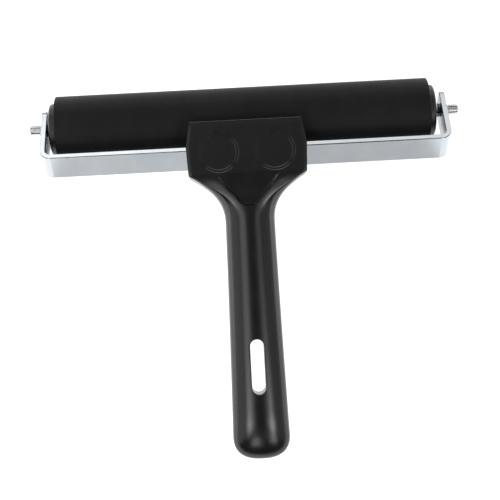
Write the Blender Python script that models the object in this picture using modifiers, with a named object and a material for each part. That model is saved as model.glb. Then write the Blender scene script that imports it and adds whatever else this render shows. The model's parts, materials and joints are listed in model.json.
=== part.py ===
"""Rubber brayer: a 200 mm roller in a bent steel strip, on a two-part moulded handle.

Everything is built in the handle's own frame and then tilted as one, so that the roller
and the heel of the handle stand on z = 0:
  x  along the roller
  y  towards the roller's far side; "along" below is the distance from the roller's axis
     towards the heel of the handle, so y = -along
  z  out of the handle's front face; "level" below is the distance from the roller's axis
"""

from math import asin, atan2, cos, hypot, pi, radians, sin

import bmesh
import bpy
from mathutils import Matrix, Vector

GAP = 0.0003

# Roller
RUBBER_RADIUS = 0.0177
RUBBER_LENGTH = 0.200
CORE_OUTER_RADIUS = 0.0133
CORE_INNER_RADIUS = 0.0113
HUB_RADIUS = 0.0139
HUB_PROUD = 0.0035
HUB_EDGE_ROUND = 0.0014
HUB_SPIGOT = 0.016
BUSH_RADIUS = 0.0050
BUSH_LENGTH = 0.014
ROLLER_FLOAT = -0.0010

# Axle
AXLE_RADIUS = 0.0030
AXLE_LENGTH = 0.232
AXLE_CHAMFER = 0.0007
RING_THICKNESS = 0.0008
RING_OUTER_RADIUS = 0.0039
GROOVE_RADIUS = 0.0023
RING_MOUTH = 0.0024

# Steel strip, bent to a U whose plane holds the axle
STRIP_THICKNESS = 0.0030
STRIP_WIDTH = 0.016
STRIP_OUTER_HALF = 0.1089
STRIP_BEND_RADIUS = 0.0062
STRIP_REACH = 0.0258
LEG_TIP = 0.0074
LEG_CORNER = 0.0025
STRIP_EDGE = 0.0004
FRAME_ANGLE = radians(35)

# Handle outline: half widths at distances along the handle
HEAD_START = 0.0031
HEAD_KINK = 0.0161
HEAD_END = 0.0315
NECK_END = 0.0565
DOME_START = 0.1677
HEEL = 0.1806
HEAD_HALF_START = 0.0294
HEAD_HALF_KINK = 0.0316
HEAD_HALF_END = 0.0309
NECK_HALF = 0.0130
HEEL_HALF = 0.0149
NECK_CURVE_POWER = 2.4
DOME_POWER = 2.5

# Handle levels, above the roller's axis
FRONT = 0.028
FRONT_HEEL = 0.0268
HEAD_BACK = 0.0045
GRIP_BACK = 0.0078
PARTING = 0.0135
HEAD_CHAMFER_ALONG = 0.0020
HEAD_CHAMFER_DEPTH = 0.0011
HEAD_CORNER = 0.0012
GRIP_CORNER = 0.0090
GRIP_POWER = 2.4
WALL = 0.0026
ROLLER_CLEARANCE = 0.0025

# Cover caps
CAP_SPACING_HALF = 0.0147
CAP_ALONG = 0.0197
CAP_POCKET_RADIUS = 0.0107
CAP_DISC_RADIUS = 0.0090
CAP_STEP_WIDTH = 0.0004
CAP_RIM_DROP = 0.00024
CAP_DISC_DROP = 0.00048
CAP_SKIRT_RADIUS = 0.0080
CAP_SKIRT_WALL = 0.0012
CAP_POCKET_DEPTH = 0.0024
CAP_WELL_DEPTH = 0.0038

# Thumb scoop and hanging slot
SCOOP_START = 0.0330
SCOOP_HALF = 0.0155
SCOOP_WAIST_ALONG = 0.0432
SCOOP_WAIST_HALF = 0.0068
SCOOP_TIP_RADIUS = 0.0075
SCOOP_TIP = 0.0484
SCOOP_SLOPE = radians(13)
SLOT_CENTRE = 0.1320
SLOT_LENGTH = 0.0285
SLOT_WIDTH = 0.0072

# Screws
STRIP_SCREW = {"shank": 0.0019, "head": 0.0038, "head_height": 0.0022, "length": 0.0150}
SHELL_SCREW = {"shank": 0.0015, "head": 0.0028, "head_height": 0.0018, "length": 0.0110}
SHELL_SCREW_SEAT = 0.0105
SHELL_SCREW_PLACES = [(-0.009, 0.038), (0.009, 0.038), (0.0, 0.064), (0.0, 0.158)]
BOSS_RADIUS = 0.0036
SCREW_SHOULDER = 0.45
CROSS_BLADE = 0.0007
CROSS_REACH = 0.55
CROSS_FLOOR = 0.35

# Hollows in the grip, from and to, and how far the cutters reach past the head's sides
GRIP_CAVITY = (0.052, 0.113)
HEEL_CAVITY = (0.1505, 0.1655)
CUT_HALF = 0.06
SCOOP_CUT = 0.006

ROUND = 72
MEDIUM_ROUND = 42
SMALL_ROUND = 30
SCREW_ROUND = 18
FAR = 0.5


# ---------------------------------------------------------------- scene helpers

def clear_scene():
    for item in list(bpy.data.objects):
        bpy.data.objects.remove(item, do_unlink=True)


def new_collection(name):
    collection = bpy.data.collections.new(name)
    bpy.context.scene.collection.children.link(collection)
    return collection


def new_empty(name, parent=None):
    empty = bpy.data.objects.new(name, None)
    PARTS.objects.link(empty)
    empty.parent = parent
    return empty


def new_material(name, colour, roughness, metallic):
    material = bpy.data.materials.new(name)
    material.use_nodes = True
    shader = material.node_tree.nodes["Principled BSDF"]
    shader.inputs["Base Color"].default_value = (*colour, 1.0)
    shader.inputs["Roughness"].default_value = roughness
    shader.inputs["Metallic"].default_value = metallic
    return material


def new_object(name, mesh, collection):
    item = bpy.data.objects.new(name, mesh)
    collection.objects.link(item)
    return item


def mesh_from_bmesh(name, bm):
    mesh = bpy.data.meshes.new(name)
    bm.to_mesh(mesh)
    bm.free()
    return mesh


def place(item, parent, location=(0, 0, 0), rotation=(0, 0, 0)):
    item.parent = parent
    item.location = location
    item.rotation_euler = rotation
    return item


def finish(item, material):
    item.data.materials.append(material)
    item.data.shade_smooth()
    item.data.set_sharp_from_angle(angle=radians(32))
    return item


def as_cutter(item):
    item.hide_render = True
    item.display_type = "WIRE"
    return item


def cut(item, *cutters):
    for cutter in cutters:
        step = item.modifiers.new(cutter.name, "BOOLEAN")
        step.operation = "DIFFERENCE"
        step.solver = "EXACT"
        step.object = cutter


# ---------------------------------------------------------------- shape helpers

def turned(name, profile, collection, steps=SMALL_ROUND, hollow=False):
    """Turn a (radius, height) profile about z; it runs from the top down the outer side."""
    mesh = bpy.data.meshes.new(name)
    points = [(radius, 0.0, height) for radius, height in profile]
    edges = [(i, i + 1) for i in range(len(points) - 1)]
    if hollow:
        edges.append((len(points) - 1, 0))
    mesh.from_pydata(points, edges, [])
    item = new_object(name, mesh, collection)
    screw = item.modifiers.new("turn", "SCREW")
    screw.axis = "Z"
    screw.steps = steps
    screw.render_steps = steps
    screw.use_merge_vertices = True
    screw.merge_threshold = 0.00001
    screw.use_smooth_shade = True
    return item


def tube_profile(inner, outer, bottom, top):
    return [(inner, top), (outer, top), (outer, bottom), (inner, bottom)]


def rod_profile(radius, bottom, top):
    return [(0.0, top), (radius, top), (radius, bottom), (0.0, bottom)]


def arc(centre, radius, start, end, steps):
    """Points on an arc, both ends included; angles in radians."""
    angles = [start + (end - start) * i / steps for i in range(steps + 1)]
    return [(centre[0] + radius * cos(a), centre[1] + radius * sin(a)) for a in angles]


def box(name, low, high, collection):
    bm = bmesh.new()
    bmesh.ops.create_cube(bm, size=1.0)
    low, high = Vector(low), Vector(high)
    bmesh.ops.scale(bm, vec=high - low, verts=bm.verts)
    bmesh.ops.translate(bm, vec=(low + high) / 2, verts=bm.verts)
    return new_object(name, mesh_from_bmesh(name, bm), collection)


def extruded(name, outline, half_thickness, collection):
    """A closed flat outline in x and y as a solid, half_thickness each way along z."""
    curve = bpy.data.curves.new(name, "CURVE")
    curve.dimensions = "2D"
    curve.fill_mode = "BOTH"
    curve.extrude = half_thickness
    spline = curve.splines.new("POLY")
    spline.points.add(len(outline) - 1)
    for point, (x, y) in zip(spline.points, outline):
        point.co = (x, y, 0.0, 1.0)
    spline.use_cyclic_u = True
    source = new_object(name + "_outline", curve, collection)
    bpy.context.view_layer.update()
    graph = bpy.context.evaluated_depsgraph_get()
    mesh = bpy.data.meshes.new_from_object(source.evaluated_get(graph))
    item = new_object(name, mesh, collection)
    item.matrix_world = source.matrix_world
    bpy.data.objects.remove(source, do_unlink=True)
    bm = bmesh.new()
    bm.from_mesh(mesh)
    bmesh.ops.remove_doubles(bm, verts=bm.verts, dist=0.00001)
    bm.to_mesh(mesh)
    bm.free()
    return item


def loft(name, rings, collection, start_point=None, end_point=None):
    """Skin a list of closed rings of equal length; each end is a flat face or a point."""
    bm = bmesh.new()
    loops = [[bm.verts.new(point) for point in ring] for ring in rings]
    count = len(loops[0])
    for first, second in zip(loops, loops[1:]):
        for i in range(count):
            j = (i + 1) % count
            bm.faces.new((first[i], first[j], second[j], second[i]))
    for loop, point in ((loops[0], start_point), (loops[-1], end_point)):
        if point is None:
            bm.faces.new(loop)
            continue
        tip = bm.verts.new(point)
        for i in range(count):
            bm.faces.new((loop[i], loop[(i + 1) % count], tip))
    bmesh.ops.recalc_face_normals(bm, faces=bm.faces)
    return new_object(name, mesh_from_bmesh(name, bm), collection)


def smooth_step(value, low, high):
    t = min(max((value - low) / (high - low), 0.0), 1.0)
    return t * t * (3.0 - 2.0 * t)


# ---------------------------------------------------------------- roller and axle

def roller_tube(name, inner, outer, half_length, material):
    item = turned(name, tube_profile(inner, outer, -half_length, half_length), PARTS, ROUND, True)
    place(item, ROLLER, rotation=(0, pi / 2, 0))
    return finish(item, material)


def hub_profile():
    top = RUBBER_LENGTH / 2 + HUB_PROUD
    flange_bottom = RUBBER_LENGTH / 2 + GAP
    bore = BUSH_RADIUS + GAP
    edge = arc((HUB_RADIUS - HUB_EDGE_ROUND, top - HUB_EDGE_ROUND), HUB_EDGE_ROUND, pi / 2, 0.0, 3)
    spigot = CORE_INNER_RADIUS - GAP
    bottom = flange_bottom - HUB_SPIGOT
    return [
        (bore, top),
        *edge,
        (HUB_RADIUS, flange_bottom),
        (spigot, flange_bottom),
        (spigot, bottom),
        (bore, bottom),
    ]


def make_roller():
    half = RUBBER_LENGTH / 2
    roller_tube("rubber_sleeve", CORE_OUTER_RADIUS + GAP, RUBBER_RADIUS, half, RUBBER)
    roller_tube("roller_core", CORE_INNER_RADIUS, CORE_OUTER_RADIUS, half, ALUMINIUM)
    bush_top = half + HUB_PROUD - GAP
    bush = tube_profile(AXLE_RADIUS + GAP, BUSH_RADIUS, bush_top - BUSH_LENGTH, bush_top)
    for side, name in ((-1, "left"), (1, "right")):
        hub = turned("hub_" + name, hub_profile(), PARTS, MEDIUM_ROUND, True)
        finish(place(hub, ROLLER, rotation=(0, side * pi / 2, 0)), HUB_PLASTIC)
        sleeve = turned("bush_" + name, bush, PARTS, SMALL_ROUND, True)
        finish(place(sleeve, ROLLER, rotation=(0, side * pi / 2, 0)), BRONZE)


def ring_middle():
    """Distance from the middle of the axle to the middle of a snap ring."""
    return STRIP_OUTER_HALF - STRIP_THICKNESS - GAP - RING_THICKNESS / 2


def make_axle():
    half = AXLE_LENGTH / 2
    groove = RING_THICKNESS / 2 + GAP / 2
    middle = ring_middle()
    upper = [
        (0.0, half),
        (AXLE_RADIUS - AXLE_CHAMFER, half),
        (AXLE_RADIUS, half - AXLE_CHAMFER),
        (AXLE_RADIUS, middle + groove),
        (GROOVE_RADIUS, middle + groove),
        (GROOVE_RADIUS, middle - groove),
        (AXLE_RADIUS, middle - groove),
    ]
    lower = [(radius, -height) for radius, height in reversed(upper)]
    axle = turned("axle_rod", upper + lower, PARTS, SMALL_ROUND)
    finish(place(axle, AXLE, rotation=(0, pi / 2, 0)), BRIGHT_STEEL)
    inner = GROOVE_RADIUS + GAP
    profile = tube_profile(inner, RING_OUTER_RADIUS, -RING_THICKNESS / 2, RING_THICKNESS / 2)
    for side, name in ((-1, "left"), (1, "right")):
        ring = turned("snap_ring_" + name, profile, PARTS, SMALL_ROUND, True)
        mouth = box("ring_mouth_" + name, (-FAR, 0, -RING_MOUTH / 2), (FAR, FAR, RING_MOUTH / 2), CUTTERS)
        as_cutter(place(mouth, AXLE))
        place(ring, AXLE, (side * middle, 0, 0), (0, pi / 2, 0))
        cut(ring, mouth)
        finish(ring, DARK_STEEL)


# ---------------------------------------------------------------- steel strip

def strip_outline():
    """The U in the strip's own frame: x across, y from the bar towards the leg tips."""
    outer, inner = STRIP_OUTER_HALF, STRIP_OUTER_HALF - STRIP_THICKNESS
    bar_outer = -(STRIP_REACH + STRIP_THICKNESS / 2)
    centre_x = outer - STRIP_BEND_RADIUS
    centre_y = bar_outer + STRIP_BEND_RADIUS
    small = STRIP_BEND_RADIUS - STRIP_THICKNESS
    right = [(outer, LEG_TIP)]
    right += arc((centre_x, centre_y), STRIP_BEND_RADIUS, 0.0, -pi / 2, 7)
    left = [(-x, y) for x, y in reversed(right)]
    inner_left = [(-inner, LEG_TIP)]
    inner_left += arc((-centre_x, centre_y), small, pi, 3 * pi / 2, 6)
    inner_right = [(-x, y) for x, y in reversed(inner_left)]
    return right + left + inner_left + inner_right


def round_leg_corners(mesh):
    """Round the four corners of the leg tips, seen along x."""
    bm = bmesh.new()
    bm.from_mesh(mesh)
    corners = [
        edge
        for edge in bm.edges
        if all(abs(v.co.y - LEG_TIP) < GAP for v in edge.verts)
        and abs(edge.verts[0].co.z - edge.verts[1].co.z) < GAP
    ]
    bmesh.ops.bevel(bm, geom=corners, offset=LEG_CORNER, segments=4, profile=0.5, affect="EDGES")
    bm.to_mesh(mesh)
    bm.free()


def strip_screw_cutter(name, x, low, high, radius):
    """A round hole square to the bar, between two distances from the axle."""
    hole = turned(name, rod_profile(radius, low, high), CUTTERS)
    return as_cutter(place(hole, STRIP, (x, 0, 0), (pi / 2, 0, 0)))


def make_strip():
    strip = extruded("frame_strip", strip_outline(), STRIP_WIDTH / 2, PARTS)
    round_leg_corners(strip.data)
    place(strip, STRIP)
    edge = strip.modifiers.new("edge", "BEVEL")
    edge.width = STRIP_EDGE
    edge.segments = 1
    edge.limit_method = "ANGLE"
    edge.angle_limit = radians(40)
    axle_hole = turned("axle_hole", rod_profile(AXLE_RADIUS + GAP, -FAR, FAR), CUTTERS)
    cut(strip, as_cutter(place(axle_hole, STRIP, rotation=(0, pi / 2, 0))))
    hole_radius = STRIP_SCREW["shank"] + GAP
    near, far = STRIP_REACH - STRIP_THICKNESS, STRIP_REACH + STRIP_THICKNESS
    for side in (-1, 1):
        cut(strip, strip_screw_cutter(f"strip_hole_{side}", side * CAP_SPACING_HALF, near, far, hole_radius))
    finish(strip, ZINC)


# ---------------------------------------------------------------- screws

def screw_profile(size):
    """A pan-head screw whose head sits on z = 0 and whose shank points down."""
    head, height, shank, length = size["head"], size["head_height"], size["shank"], size["length"]
    dome = [
        (head * cos(a), height * (SCREW_SHOULDER + (1.0 - SCREW_SHOULDER) * sin(a)))
        for a in (radians(75), radians(60), radians(35), 0.0)
    ]
    return [
        (0.0, height),
        *dome,
        (head, 0.0),
        (shank, 0.0),
        (shank, -length + 2.0 * shank),
        (shank * 0.25, -length),
        (0.0, -length),
    ]


def cross_cutter(name, size, parent, location, rotation):
    """Two crossed bars that sink a cross recess into the head, one after the other."""
    arm, blade = size["head"] * CROSS_REACH, CROSS_BLADE / 2
    floor, top = size["head_height"] * CROSS_FLOOR, size["head_height"] * 2.0
    first = box(name, (-arm, -blade, floor), (arm, blade, top), CUTTERS)
    second = box(name + "_bar", (-blade, -arm, floor), (blade, arm, top + GAP), CUTTERS)
    for bar in (first, second):
        as_cutter(place(bar, parent, location, rotation))
    return first, second


def make_screw(name, size, parent, location, rotation):
    screw = turned(name, screw_profile(size), PARTS, SCREW_ROUND)
    place(screw, parent, location, rotation)
    cut(screw, *cross_cutter(name + "_cross", size, parent, location, rotation))
    return finish(screw, ZINC)


def make_screws():
    seat = STRIP_REACH - STRIP_THICKNESS / 2 - GAP
    for side, name in ((-1, "left"), (1, "right")):
        place_at = (side * CAP_SPACING_HALF, -seat, 0)
        make_screw("strip_screw_" + name, STRIP_SCREW, STRIP, place_at, (-pi / 2, 0, 0))
    for number, (x, along) in enumerate(SHELL_SCREW_PLACES, 1):
        place_at = (x, -along, SHELL_SCREW_SEAT - GAP)
        make_screw(f"handle_screw_{number}", SHELL_SCREW, HANDLE, place_at, (pi, 0, 0))


# ---------------------------------------------------------------- handle

def half_width(along):
    if along <= HEAD_KINK:
        t = (along - HEAD_START) / (HEAD_KINK - HEAD_START)
        return HEAD_HALF_START + t * (HEAD_HALF_KINK - HEAD_HALF_START)
    if along <= HEAD_END:
        t = (along - HEAD_KINK) / (HEAD_END - HEAD_KINK)
        return HEAD_HALF_KINK + t * (HEAD_HALF_END - HEAD_HALF_KINK)
    if along <= NECK_END:
        t = (NECK_END - along) / (NECK_END - HEAD_END)
        return NECK_HALF + (HEAD_HALF_END - NECK_HALF) * t**NECK_CURVE_POWER
    t = (along - NECK_END) / (DOME_START - NECK_END)
    return NECK_HALF + (HEEL_HALF - NECK_HALF) * t**1.3


def front_level(along):
    if along < HEAD_START + HEAD_CHAMFER_ALONG:
        t = (HEAD_START + HEAD_CHAMFER_ALONG - along) / HEAD_CHAMFER_ALONG
        return FRONT - HEAD_CHAMFER_DEPTH * t
    return FRONT - (FRONT - FRONT_HEEL) * smooth_step(along, 0.07, HEEL)


def back_level(along):
    return HEAD_BACK + (GRIP_BACK - HEAD_BACK) * smooth_step(along, 0.030, 0.066)


def dome_scale(along):
    """Shrinks the sections towards the heel."""
    if along <= DOME_START:
        return 1.0
    t = (along - DOME_START) / (HEEL - DOME_START)
    return (1.0 - min(t, 1.0) ** DOME_POWER) ** (1.0 / DOME_POWER)


def section(along, inset=0.0):
    """One closed ring across the handle: flat and square at the head, crowned at the grip."""
    low, high = back_level(along) + inset, front_level(along) - inset
    scale = dome_scale(along)
    width = (half_width(along) - inset) * scale
    depth = (high - low) / 2 * scale
    middle = (high + low) / 2
    grip = smooth_step(along, HEAD_END, NECK_END)
    corner = (HEAD_CORNER + (GRIP_CORNER - HEAD_CORNER) * grip) * scale
    corner = min(corner, width * 0.6, depth * 0.9)
    ring = []
    for quarter, (sx, sz) in enumerate(((1, 1), (-1, 1), (-1, -1), (1, -1))):
        centre = (sx * (width - corner), sz * (depth - corner))
        start = quarter * pi / 2
        ring += arc(centre, corner, start, start + pi / 2, 4)
    points = []
    for x, z in subdivided(ring, 3):
        reach = (abs(x / width) ** GRIP_POWER + abs(z / depth) ** GRIP_POWER) ** (-1.0 / GRIP_POWER)
        factor = 1.0 + grip * (reach - 1.0)
        points.append((x * factor, -along, middle + z * factor))
    return points


def subdivided(ring, pieces):
    """Adds points along the ring's four straight sides, which follow each corner arc."""
    per_corner = len(ring) // 4
    points = []
    for i, (x, z) in enumerate(ring):
        points.append((x, z))
        if i % per_corner != per_corner - 1:
            continue
        nx, nz = ring[(i + 1) % len(ring)]
        for k in range(1, pieces):
            points.append((x + (nx - x) * k / pieces, z + (nz - z) * k / pieces))
    return points


def spread(low, high, steps):
    return [low + (high - low) * i / steps for i in range(steps + 1)]


def dome_stations(steps):
    """Stations that follow the dome's curve and stop just short of the heel."""
    return [DOME_START + (HEEL - DOME_START) * sin(radians(88) * i / steps) for i in range(1, steps + 1)]


def handle_blank(name, collection):
    chamfer_end = HEAD_START + HEAD_CHAMFER_ALONG
    stations = [HEAD_START, chamfer_end, HEAD_KINK, 0.024]
    stations += spread(HEAD_END, NECK_END, 11)
    stations += spread(NECK_END, DOME_START, 9)[1:]
    stations += dome_stations(8)
    middle = (front_level(HEEL) + back_level(HEEL)) / 2
    return loft(name, [section(s) for s in stations], collection, end_point=(0, -HEEL, middle))


def cavity(name, low, high, boss_along):
    """A hollow inside the grip that leaves a boss for a screw standing in it."""
    rings = [section(s, WALL) for s in spread(low, high, 5)]
    hollow = as_cutter(place(loft(name, rings, CUTTERS), HANDLE))
    boss = turned(name + "_boss", rod_profile(BOSS_RADIUS, -FAR, FAR), CUTTERS)
    as_cutter(place(boss, HANDLE, (0, -boss_along, 0)))
    cut(hollow, boss)
    return hollow


def scoop_outline():
    tip_centre = SCOOP_TIP - SCOOP_TIP_RADIUS - SCOOP_START
    side = atan2(SCOOP_HALF - SCOOP_WAIST_HALF, SCOOP_WAIST_ALONG - SCOOP_START)
    end = arc((0, -tip_centre), SCOOP_TIP_RADIUS, -side, -pi + side, 12)
    return [(SCOOP_HALF, GAP), *end, (-SCOOP_HALF, GAP)]


def scoop_cutter():
    scoop = extruded("thumb_scoop", scoop_outline(), SCOOP_CUT, CUTTERS)
    lift = Vector((0, -SCOOP_START, FRONT)) + Matrix.Rotation(SCOOP_SLOPE, 3, "X") @ Vector((0, 0, SCOOP_CUT))
    return as_cutter(place(scoop, HANDLE, lift, (SCOOP_SLOPE, 0, 0)))


def slot_cutter():
    half = (SLOT_LENGTH - SLOT_WIDTH) / 2
    outline = arc((0, half), SLOT_WIDTH / 2, 0, pi, 9) + arc((0, -half), SLOT_WIDTH / 2, pi, 2 * pi, 9)
    slot = extruded("hanging_slot", outline, FRONT, CUTTERS)
    return as_cutter(place(slot, HANDLE, (0, -SLOT_CENTRE, PARTING)))


def pocket_cutter(side):
    above = FRONT + CAP_POCKET_DEPTH
    profile = [
        (0.0, above),
        (CAP_POCKET_RADIUS, above),
        (CAP_POCKET_RADIUS, FRONT - CAP_POCKET_DEPTH),
        (CAP_SKIRT_RADIUS + GAP, FRONT - CAP_POCKET_DEPTH),
        (CAP_SKIRT_RADIUS + GAP, FRONT - CAP_WELL_DEPTH),
        (0.0, FRONT - CAP_WELL_DEPTH),
    ]
    pocket = turned(f"cap_pocket_{side}", profile, CUTTERS, MEDIUM_ROUND)
    return as_cutter(place(pocket, HANDLE, (side * CAP_SPACING_HALF, -CAP_ALONG, 0)))


def strip_seat_cutter():
    """The strip and the room behind it, open towards the roller."""
    edge = STRIP_WIDTH / 2 + GAP
    deep = -(STRIP_REACH + STRIP_THICKNESS / 2 + GAP)
    seat = box("strip_seat", (-CUT_HALF, deep, -edge), (CUT_HALF, 0.0, edge), CUTTERS)
    return as_cutter(place(seat, STRIP))


def roller_room_cutter():
    profile = rod_profile(RUBBER_RADIUS + ROLLER_CLEARANCE, -CUT_HALF, CUT_HALF)
    room = turned("roller_room", profile, CUTTERS, ROUND)
    return as_cutter(place(room, HANDLE, rotation=(0, pi / 2, 0)))


def shell_screw_cutters():
    """Stepped holes from the back, for each screw that joins the two mouldings."""
    head = SHELL_SCREW["head"] + 2 * GAP
    shank = SHELL_SCREW["shank"] + GAP
    top = SHELL_SCREW_SEAT + SHELL_SCREW["length"] + GAP
    profile = [
        (0.0, top),
        (shank, top),
        (shank, SHELL_SCREW_SEAT),
        (head, SHELL_SCREW_SEAT),
        (head, -HEAD_BACK),
        (0.0, -HEAD_BACK),
    ]
    for number, (x, along) in enumerate(SHELL_SCREW_PLACES, 1):
        hole = turned(f"screw_hole_{number}", profile, CUTTERS)
        yield as_cutter(place(hole, HANDLE, (x, -along, 0)))


def make_handle():
    body = place(handle_blank("handle_body", PARTS), HANDLE)
    cover = place(handle_blank("handle_back_cover", PARTS), HANDLE)
    below = as_cutter(place(box("below", (-FAR, -FAR, -FAR), (FAR, FAR, PARTING + GAP / 2), CUTTERS), HANDLE))
    above = as_cutter(place(box("above", (-FAR, -FAR, PARTING - GAP / 2), (FAR, FAR, FAR), CUTTERS), HANDLE))
    cut(body, below)
    cut(cover, above)
    shared = [
        roller_room_cutter(),
        strip_seat_cutter(),
        cavity("grip_cavity", *GRIP_CAVITY, SHELL_SCREW_PLACES[2][1]),
        cavity("heel_cavity", *HEEL_CAVITY, SHELL_SCREW_PLACES[3][1]),
        slot_cutter(),
        *shell_screw_cutters(),
    ]
    cut(body, *shared)
    cut(cover, *shared)
    near = STRIP_REACH - STRIP_THICKNESS
    deep = STRIP_REACH - STRIP_THICKNESS / 2 + STRIP_SCREW["length"]
    hole_radius = STRIP_SCREW["shank"] + GAP
    for side in (-1, 1):
        cut(body, strip_screw_cutter(f"body_hole_{side}", side * CAP_SPACING_HALF, near, deep, hole_radius))
        cut(body, pocket_cutter(side))
    cut(body, scoop_cutter())
    finish(body, BLACK_PLASTIC)
    finish(cover, BLACK_PLASTIC)


def make_caps():
    disc, high = FRONT - CAP_DISC_DROP, FRONT - CAP_RIM_DROP
    under = FRONT - CAP_POCKET_DEPTH + GAP
    rim = CAP_POCKET_RADIUS - GAP
    skirt_inner = CAP_SKIRT_RADIUS - CAP_SKIRT_WALL
    skirt_bottom = FRONT - CAP_WELL_DEPTH + GAP
    profile = [
        (0.0, disc),
        (CAP_DISC_RADIUS, disc),
        (CAP_DISC_RADIUS + CAP_STEP_WIDTH, high),
        (rim, high),
        (rim, under),
        (CAP_SKIRT_RADIUS, under),
        (CAP_SKIRT_RADIUS, skirt_bottom),
        (skirt_inner, skirt_bottom),
        (skirt_inner, under),
        (0.0, under),
    ]
    for side, name in ((-1, "left"), (1, "right")):
        cap = turned("cover_cap_" + name, profile, PARTS, MEDIUM_ROUND)
        place(cap, HANDLE, (side * CAP_SPACING_HALF, -CAP_ALONG, 0))
        finish(cap, BLACK_PLASTIC)


# ---------------------------------------------------------------- standing the whole up

def rest_tilt():
    """The tilt at which the roller and the underside of the heel touch one plane."""
    tilt = radians(9)
    for _ in range(20):
        along = min(dome_stations(40), key=lambda s: underside(s) * cos(tilt) - s * sin(tilt))
        level = underside(along)
        tilt = asin(RUBBER_RADIUS / hypot(along, level)) + atan2(level, along)
    return tilt


def underside(along):
    low, high = back_level(along), front_level(along)
    return (low + high) / 2 - (high - low) / 2 * dome_scale(along)


def world_bounds():
    bpy.context.view_layer.update()
    graph = bpy.context.evaluated_depsgraph_get()
    corners = []
    for item in PARTS.objects:
        if item.type == "MESH":
            seen = item.evaluated_get(graph)
            corners += [seen.matrix_world @ vertex.co for vertex in seen.data.vertices]
    low = Vector([min(c[i] for c in corners) for i in range(3)])
    high = Vector([max(c[i] for c in corners) for i in range(3)])
    return low, high


def stand_up():
    """Tilt the brayer and set the middle of its box, at its foot, on the origin."""
    ROOT.rotation_euler = (rest_tilt(), 0, 0)
    low, high = world_bounds()
    ROOT.location = (-(low.x + high.x) / 2, -(low.y + high.y) / 2, -low.z)


clear_scene()
PARTS = new_collection("rubber_brayer")
CUTTERS = new_collection("cutters")

RUBBER = new_material("black_rubber", (0.016, 0.016, 0.017), 0.62, 0.0)
BLACK_PLASTIC = new_material("black_plastic", (0.020, 0.020, 0.021), 0.38, 0.0)
HUB_PLASTIC = new_material("hub_plastic", (0.014, 0.014, 0.015), 0.45, 0.0)
ZINC = new_material("zinc_plated_steel", (0.66, 0.68, 0.71), 0.28, 1.0)
BRIGHT_STEEL = new_material("bright_steel", (0.70, 0.70, 0.69), 0.22, 1.0)
DARK_STEEL = new_material("dark_spring_steel", (0.10, 0.10, 0.11), 0.40, 1.0)
ALUMINIUM = new_material("aluminium_tube", (0.72, 0.73, 0.74), 0.35, 1.0)
BRONZE = new_material("bronze_bush", (0.55, 0.38, 0.20), 0.40, 1.0)

ROOT = new_empty("brayer")
HANDLE = new_empty("handle_frame", ROOT)
STRIP = new_empty("strip_frame", ROOT)
STRIP.rotation_euler = (-FRAME_ANGLE, 0, 0)
AXLE = new_empty("axle_line", ROOT)
ROLLER = new_empty("roller_line", ROOT)
ROLLER.location = (ROLLER_FLOAT, 0, 0)

make_roller()
make_axle()
make_strip()
make_screws()
make_handle()
make_caps()
stand_up()
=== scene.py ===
"""The looks of the rubber brayer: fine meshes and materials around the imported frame.

The handle, the steel strip and their fasteners are modelled in the handle's own frame:
  x  along the roller
  y  towards the roller's far side; "along" is the distance from the roller's axis towards
     the heel of the handle, so y = -along
  z  out of the handle's front face; "level" is the height over the roller's axis
"""

import json
from math import cos, exp, hypot, pi, radians, sin, sqrt

import bmesh
import bpy
from mathutils import Matrix, Vector


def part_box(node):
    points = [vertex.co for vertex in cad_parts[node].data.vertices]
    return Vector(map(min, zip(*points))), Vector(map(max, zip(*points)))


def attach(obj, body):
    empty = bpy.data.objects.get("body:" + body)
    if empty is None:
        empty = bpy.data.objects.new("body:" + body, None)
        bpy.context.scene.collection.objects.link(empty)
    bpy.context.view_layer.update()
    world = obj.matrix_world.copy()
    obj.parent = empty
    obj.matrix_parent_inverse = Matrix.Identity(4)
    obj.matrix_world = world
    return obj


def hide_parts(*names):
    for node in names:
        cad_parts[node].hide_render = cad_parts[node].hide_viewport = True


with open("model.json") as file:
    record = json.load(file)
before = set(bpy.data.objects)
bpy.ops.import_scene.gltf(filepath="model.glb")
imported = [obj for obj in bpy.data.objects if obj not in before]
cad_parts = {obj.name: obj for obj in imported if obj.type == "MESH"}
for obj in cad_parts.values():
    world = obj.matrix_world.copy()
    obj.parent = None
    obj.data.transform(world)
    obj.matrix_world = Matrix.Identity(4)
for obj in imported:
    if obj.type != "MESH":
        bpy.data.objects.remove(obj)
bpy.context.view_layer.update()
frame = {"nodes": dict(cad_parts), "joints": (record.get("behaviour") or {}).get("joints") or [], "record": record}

MM = 0.001
GAP = 0.3 * MM

# Places that the frame gives
MOUNT = next(m for m in frame["record"]["mounts"] if m["name"] == "head_face")
SPIN = Vector(frame["joints"][0]["pos_m"])
OUT = Vector(MOUNT["axis"]).normalized()
FRONT = (Vector(MOUNT["pos_m"]) - SPIN).dot(OUT)
RUBBER_LOW, RUBBER_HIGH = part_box("rubber_sleeve")
RUBBER_RADIUS = (RUBBER_HIGH.z - RUBBER_LOW.z) / 2
RUBBER_HALF = (RUBBER_HIGH.x - RUBBER_LOW.x) / 2
ROLLER_SHIFT = (RUBBER_HIGH.x + RUBBER_LOW.x) / 2
HUB_LOW, HUB_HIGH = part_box("hub_right")
HUB_RADIUS = (HUB_HIGH.z - HUB_LOW.z) / 2
HUB_FACE = HUB_HIGH.x - ROLLER_SHIFT
AXLE_LOW, AXLE_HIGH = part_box("axle_rod")
AXLE_RADIUS = (AXLE_HIGH.z - AXLE_LOW.z) / 2
AXLE_HALF = AXLE_HIGH.x
STRIP_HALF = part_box("frame_strip")[1].x
RING_PLACE = sum(corner.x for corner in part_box("snap_ring_right")) / 2

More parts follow.
